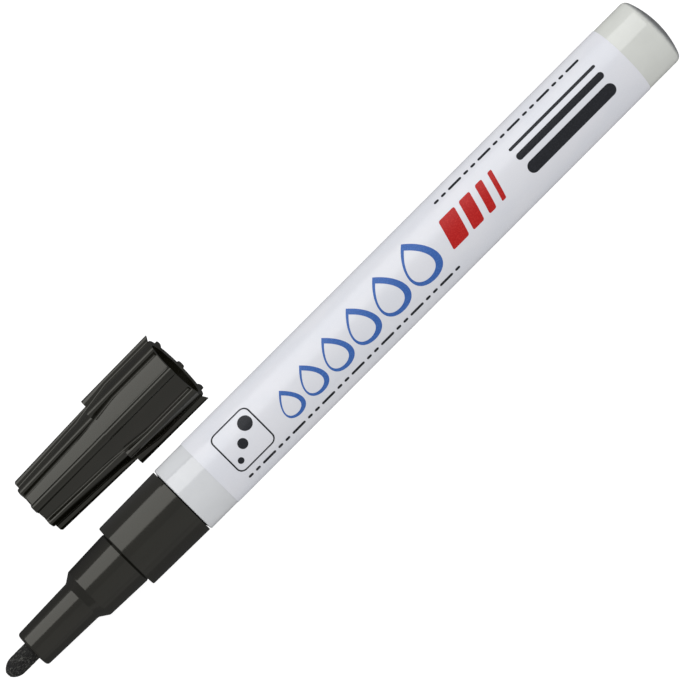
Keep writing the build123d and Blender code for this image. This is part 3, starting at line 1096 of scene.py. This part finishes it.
@dataclass
class Print:
    """A made-up print on the film: a frame with dots, drops, slanted bars, strokes and dashed rules.

    Marks are drawn flat, with X along the marker and Y across it, and then wrapped round the film.
    """

    face: float = 5.9705
    ink_depth: float = 0.012
    strip: float = 0.4
    row_start: float = -29.0
    row_foot: float = -3.5
    drop_count: int = 6
    drop_high: float = 4.8
    drop_growth: float = 0.55
    drop_shape: float = 0.77
    drop_gap: float = 0.75
    drop_line: float = 0.26
    frame_at: float = -35.8
    frame_side: float = 7.4
    frame_line: float = 0.24
    frame_round: float = 0.16
    dots: tuple[tuple[float, float, float], ...] = (
        (-38.1, -2.0, 0.5), (-36.2, -0.4, 0.8), (-33.9, 1.5, 1.15),
    )
    bars: tuple[Corner, ...] = ((7.4, 3.2), (11.0, 2.2), (13.9, 1.4), (16.2, 0.8))
    bar_high: float = 4.6
    bar_lean: float = 1.3
    strokes: tuple[Corner, ...] = ((2.3, 0.5), (0.6, 1.1), (-1.9, 2.0))
    stroke_ends: Corner = (21.0, 38.6)
    rules: tuple[tuple[float, float, float], ...] = ((-39.0, 4.0, -5.1), (8.0, 38.0, 5.1))
    dashes: tuple[float, ...] = (0.9, 0.9, 2.6)
    dash_gap: float = 0.55
    dash_width: float = 0.5

    def build(self, blue: bpy.types.Material, red: bpy.types.Material, black: bpy.types.Material) -> None:
        """Prints the marks.

        Args:
            blue: Ink of the drops.
            red: Ink of the bars.
            black: Ink of the frame, its dots, the strokes and the rules.
        """
        dots = [self.disc(*dot) for dot in self.dots]
        self.lay("print_frame", [self.frame(), *dots], black)
        self.lay("print_drops", self.drops(), blue)
        self.lay("print_bars", [self.bar(*bar) for bar in self.bars], red)
        strokes = [self.stroke(*self.stroke_ends, *stroke) for stroke in self.strokes]
        self.lay("print_strokes", strokes, black)
        self.lay("print_rules", [dash for rule in self.rules for dash in self.rule(*rule)], black)

    def lay(self, name: str, marks: list[bpy.types.Object], ink: bpy.types.Material) -> None:
        """Joins flat marks, wraps them round the film, gives them the ink's depth and dresses them.

        Args:
            name: Name of the printed piece.
            marks: Its flat marks.
            ink: Its finish.
        """
        whole, *others = marks
        if others:
            Workbench.join(whole, others)
        whole.name = whole.data.name = name
        bpy.context.view_layer.objects.active = whole
        Workbench.mode("EDIT")
        reach = max(abs(vertex.co.y) for vertex in bmesh.from_edit_mesh(whole.data).verts)
        for cut in range(-int(reach / self.strip), int(reach / self.strip) + 1):
            bpy.ops.mesh.select_all(action="SELECT")
            bpy.ops.mesh.bisect(plane_co=(0, cut * self.strip, 0), plane_no=(0, 1, 0))
        Workbench.mode("OBJECT")
        for vertex in whole.data.vertices:
            angle = vertex.co.y / self.face
            vertex.co.y = self.face * math.sin(angle)
            vertex.co.z = self.face * math.cos(angle)
        Workbench.apply(whole, "SOLIDIFY", thickness=self.ink_depth, offset=1.0)
        Workbench.done(whole, ink, Slot.LABEL, Body.MARKER, smooth=30.0)

    def frame(self) -> bpy.types.Object:
        """Draws a thin square frame with round corners.

        Returns:
            The flat frame.
        """
        side = self.frame_side
        mark = Workbench.add(
            "mark", bpy.ops.mesh.primitive_plane_add, size=side, location=(self.frame_at, 0, 0)
        )
        bpy.ops.object.transform_apply(location=True)
        Workbench.mode("EDIT")
        bpy.ops.mesh.bevel(offset=side * self.frame_round, segments=8, affect="VERTICES")
        bpy.ops.mesh.select_mode(type="FACE")
        bpy.ops.mesh.select_all(action="SELECT")
        bpy.ops.mesh.inset(thickness=self.frame_line)
        bpy.ops.mesh.delete(type="FACE")
        Workbench.mode("OBJECT")
        return mark

    @staticmethod
    def disc(along: float, across: float, radius: float) -> bpy.types.Object:
        """Draws a full round dot.

        Args:
            along: Its middle along the marker.
            across: Its middle across the marker.
            radius: Its radius.

        Returns:
            The flat dot.
        """
        disc = Workbench.add(
            "mark", bpy.ops.mesh.primitive_circle_add, vertices=64, radius=radius, fill_type="NGON",
            location=(along, across, 0),
        )
        bpy.ops.object.transform_apply(location=True)
        return disc

    def drops(self) -> list[bpy.types.Object]:
        """Draws a row of paint drops that grow towards the marker's closed end.

        Returns:
            The flat drops.
        """
        row = []
        edge = self.row_start
        for count in range(self.drop_count):
            high = self.drop_high + self.drop_growth * count
            wide = high * self.drop_shape
            row.append(self.drop(edge + wide / 2, self.row_foot + high / 2, high))
            edge += wide + self.drop_gap
        return row

    def drop(self, along: float, across: float, high: float) -> bpy.types.Object:
        """Draws one paint drop in outline, with a line that swells on its lower right.

        Args:
            along: Its middle along the marker.
            across: Its middle across the marker.
            high: Its height across the marker.

        Returns:
            The flat drop.
        """
        half = high / 2
        drop = Workbench.add("mark", bpy.ops.mesh.primitive_circle_add, vertices=96, radius=1)
        for vertex in drop.data.vertices:
            turn = math.atan2(vertex.co.x, vertex.co.y) % TURN
            vertex.co.x = along + half * math.sin(turn) * math.sin(turn / 2)
            vertex.co.y = across + half * math.cos(turn)
        Workbench.mode("EDIT")
        bpy.ops.mesh.extrude_region_move()
        inner = 1 - self.drop_line
        bpy.ops.transform.resize(value=(inner, inner, 1), center_override=(along, across - half / 3, 0))
        bpy.ops.transform.translate(value=(-0.1 * half, 0.05 * half, 0))
        bpy.ops.mesh.select_all(action="SELECT")
        bpy.ops.mesh.normals_make_consistent(inside=False)
        Workbench.mode("OBJECT")
        if drop.data.polygons[0].normal.z < 0:
            drop.data.flip_normals()
        return drop

    def bar(self, along: float, wide: float) -> bpy.types.Object:
        """Draws a bar that leans forwards.

        Args:
            along: Its middle along the marker.
            wide: Its width.

        Returns:
            The flat bar.
        """
        bar = Workbench.add("mark", bpy.ops.mesh.primitive_plane_add, size=1)
        Workbench.mode("EDIT")
        bpy.ops.transform.resize(value=(wide, self.bar_high, 1))
        bpy.ops.transform.translate(value=(along, 0, 0))
        bpy.ops.mesh.bevel(offset=min(0.3, wide / 4), segments=3, affect="VERTICES")
        Workbench.mode("OBJECT")
        for vertex in bar.data.vertices:
            vertex.co.x += self.bar_lean * vertex.co.y / self.bar_high
        return bar

    @staticmethod
    def stroke(start: float, end: float, across: float, width: float) -> bpy.types.Object:
        """Draws a straight stroke with round ends.

        Args:
            start: Where it starts along the marker.
            end: Where it ends.
            across: Its middle across the marker.
            width: Its width.

        Returns:
            The flat stroke.
        """
        stroke = Workbench.add("mark", bpy.ops.mesh.primitive_plane_add, size=1)
        Workbench.mode("EDIT")
        bpy.ops.transform.resize(value=(end - start, width, 1))
        bpy.ops.transform.translate(value=((start + end) / 2, across, 0))
        bpy.ops.mesh.bevel(offset=width * 0.49, segments=8, affect="VERTICES")
        Workbench.mode("OBJECT")
        return stroke

    def rule(self, start: float, end: float, across: float) -> list[bpy.types.Object]:
        """Draws a rule of short dashes in a steady rhythm of three lengths.

        Args:
            start: Where it starts along the marker.
            end: Where it ends.
            across: Its place across the marker.

        Returns:
            The flat dashes.
        """
        row = []
        at = start
        while at < end:
            length = self.dashes[len(row) % len(self.dashes)]
            row.append(self.stroke(at, at + length, across, self.dash_width))
            at += length + self.dash_gap
        return row


@dataclass(frozen=True)
class Softbox:
    """A lamp behind a large white cloth that leans over the marker."""

    name: str
    lift: float
    along: float
    length: float
    light: float
    glossy: bool = True
    matt: bool = True
    width: float = 3.4
    distance: float = 3.0

    def hang(self) -> None:
        """Hangs the softbox, turned towards the marker."""
        lamp = bpy.data.lights.new(self.name, "AREA")
        lamp.shape = "RECTANGLE"
        lamp.size = self.length
        lamp.size_y = self.width
        lamp.energy = self.light * math.pi * self.length * self.width
        softbox = bpy.data.objects.new(self.name, lamp)
        away = Vector((0, math.sin(self.lift), math.cos(self.lift)))
        softbox.location = away * self.distance + Vector((self.along, 0, 0))
        softbox.rotation_euler = (-self.lift, 0, 0)
        softbox.visible_glossy, softbox.visible_diffuse = self.glossy, self.matt
        bpy.context.scene.collection.objects.link(softbox)


@dataclass(frozen=True)
class Card:
    """A card that stands near the cap and the nose and is seen in their gloss alone."""

    name: str
    start: Corner
    end: Corner
    top: float
    ramp: Corner
    glow: Corner

    def stand(self) -> None:
        """Stands the card on the floor, dark at its foot and pale at its top."""
        foot = CAD_BOX[0].z / MM
        card = Workbench.outline(self.name, ((0, foot), (1, foot), (1, self.top), (0, self.top)))
        bpy.ops.mesh.select_all(action="SELECT")
        bpy.ops.mesh.edge_face_add()
        Workbench.mode("OBJECT")
        for vertex in card.data.vertices:
            vertex.co.xy = Vector(self.start).lerp(Vector(self.end), vertex.co.x)
        card.data.transform(Matrix.Scale(MM, 4))
        sketch = NodeSketch(self.name)
        upright = sketch.axes()[2]
        ramp = (self.ramp[0] * MM, self.ramp[1] * MM)
        card.data.materials.append(sketch.finish(
            Base_Color=(0.0, 0.0, 0.0), Specular_IOR_Level=0.0, Emission_Color=(1.0, 1.0, 1.0),
            Emission_Strength=sketch.spread(upright, ramp, self.glow),
        ))
        card.visible_camera = card.visible_diffuse = False
        card.visible_shadow = card.visible_transmission = False


@dataclass
class Studio:
    """A pale lit floor, softboxes, cards beside the nose and the photograph's camera.

    The key softbox on the cap's side and the faint fill show in gloss alone, and the top softbox lights
    matt faces alone, so that bright strips and soft shading are set apart.
    """

    floor_size: float = 3.0
    floor_tone: Colour = (0.25, 0.25, 0.25)
    floor_glow: float = 0.9
    surround_nadir: float = 0.04
    surround_below: float = 0.44
    surround_above: float = 0.62
    horizon: float = 0.05
    boxes: tuple[Softbox, ...] = (
        Softbox("key_softbox", math.radians(50), -0.85, 2.9, 1.9, matt=False),
        Softbox("top_softbox", math.radians(26), -0.2, 3.0, 1.22, glossy=False),
        Softbox("fill_softbox", math.radians(-40), -0.2, 4.0, 0.1, matt=False),
    )
    cards: tuple[Card, ...] = (
        Card("marker_side_card", (-67.6, 6.8), (-30.0, 6.8), 5.0, (-3.0, 8.0), (0.06, 0.7)),
        Card("cap_side_card", (-67.6, 7.5), (-30.0, 7.5), 5.1, (3.0, 4.5), (0.0, 0.63)),
        Card("nose_front_card", (-112.0, 70.0), (-112.0, -28.0), 34.0, (0.0, 30.0), (0.44, 0.48)),
    )
    aim: Vector = Vector((-0.01546, 0.00023, 0.0))
    nadir_along: float = -0.0445
    distance: float = 0.66
    view_width: float = 0.09904
    roll: float = math.radians(45.08)
    sensor: float = 36.0

    def build(self) -> None:
        """Sets floor, light, camera and how the picture is toned."""
        self.floor()
        self.light()
        self.camera()
        bpy.context.scene.view_settings.view_transform = "Standard"

    def floor(self) -> None:
        """Lays the floor under the marker."""
        bpy.ops.object.select_all(action="DESELECT")
        bpy.ops.mesh.primitive_plane_add(size=self.floor_size, location=(0, 0, CAD_BOX[0].z))
        floor = bpy.context.active_object
        floor.name = "studio_floor"
        sketch = NodeSketch("floor_pale_sweep")
        grain = sketch.spread(sketch.noise(30.0, 2.0), (0.3, 0.7), (0.7, 0.8))
        floor.data.materials.append(sketch.finish(
            Base_Color=self.floor_tone, Roughness=grain, Emission_Color=(1.0, 1.0, 1.0),
            Emission_Strength=self.floor_glow, Specular_IOR_Level=0.2,
        ))
        floor.visible_glossy = False

    def light(self) -> None:
        """Sets a pale surround, dimmer below the table, hangs the softboxes and stands the cards."""
        scene = bpy.context.scene
        scene.world = bpy.data.worlds.new("pale_surround")
        scene.world.use_nodes = True
        tree = scene.world.node_tree
        direction = tree.nodes.new("ShaderNodeTexCoord").outputs["Generated"]
        split = tree.nodes.new("ShaderNodeSeparateXYZ")
        tree.links.new(direction, split.inputs[0])
        glow = tree.nodes.new("ShaderNodeMath")
        stretches = (
            (-1.0, 0.0, self.surround_nadir, self.surround_below),
            (-self.horizon, self.horizon, 0.0, self.surround_above - self.surround_below),
        )
        for socket, stretch in zip(glow.inputs, stretches):
            ramp = tree.nodes.new("ShaderNodeMapRange")
            for end, number in zip(ramp.inputs[1:5], stretch):
                end.default_value = number
            tree.links.new(split.outputs[2], ramp.inputs[0])
            tree.links.new(ramp.outputs[0], socket)
        background = tree.nodes["Background"]
        background.inputs[0].default_value = (1.0, 1.0, 1.0, 1.0)
        tree.links.new(glow.outputs[0], background.inputs[1])
        for box in self.boxes:
            box.hang()
        for card in self.cards:
            card.stand()

    def camera(self) -> None:
        """Places the camera above the marker, as the photograph was taken."""
        drop = self.aim.x - self.nadir_along
        place = Vector((self.nadir_along, self.aim.y, math.sqrt(self.distance**2 - drop**2)))
        back = (place - self.aim).normalized()
        upwards = Vector((math.sin(self.roll), math.cos(self.roll), 0))
        right = upwards.cross(back).normalized()
        lens = bpy.data.cameras.new("portrait_camera")
        lens.sensor_width = self.sensor
        lens.lens = self.sensor * self.distance / self.view_width
        lens.clip_start = 0.01
        camera = bpy.data.objects.new("portrait_camera", lens)
        turn = Matrix((right, back.cross(right), back)).transposed().to_4x4()
        camera.matrix_world = Matrix.Translation(place) @ turn
        bpy.context.scene.collection.objects.link(camera)
        bpy.context.scene.camera = camera


def main() -> None:
    """Builds and dresses the pieces in order, then sets the studio."""
    logging.basicConfig(level=logging.INFO, format="%(message)s")
    black = MouldedPlastic("black_moulded_plastic", (0.0024, 0.0021, 0.001), (0.0042, 0.0038, 0.0022))
    Barrel().build(LacqueredBarrel().material())
    FrontHolder().build(black.material())
    FibreNib().build(SoakedFibre().material())
    Label().build(LabelFilm().material())
    Print().build(
        Ink("ink_blue", linear(52, 96, 170), linear(68, 112, 184)).material(),
        Ink("ink_red", linear(178, 14, 12), linear(194, 36, 32)).material(),
        Ink("ink_black", linear(22, 24, 30), linear(36, 38, 44)).material(),
    )
    valve = NaturalPlastic("valve_natural_plastic", (0.74, 0.74, 0.7), (0.86, 0.86, 0.83), waxy=0.25)
    for solid in (Solid.VALVE_BODY, Solid.VALVE_ROD, Solid.RETAINER):
        solid.dress(valve.material())
    wire = Steel("spring_drawn_wire", (0.62, 0.62, 0.61), (0.5, 0.5, 0.49), (0.2, 0.34), 0.06)
    ValveSpring().build(wire.material())
    ball = Steel("ball_polished_steel", (0.7, 0.7, 0.71), (0.6, 0.6, 0.61), (0.06, 0.16), 0.5)
    Solid.BALL.dress(ball.material())
    cap = MouldedPlastic("black_cap_plastic", (0.003, 0.0027, 0.0014), (0.005, 0.0046, 0.0028))
    RibbedCap().build(cap.material())
    seal = NaturalPlastic("seal_soft_plastic", (0.03, 0.03, 0.03), (0.05, 0.05, 0.048))
    Solid.INNER_CAP.dress(seal.material())
    Studio().build()


if __name__ == "__main__":
    main()
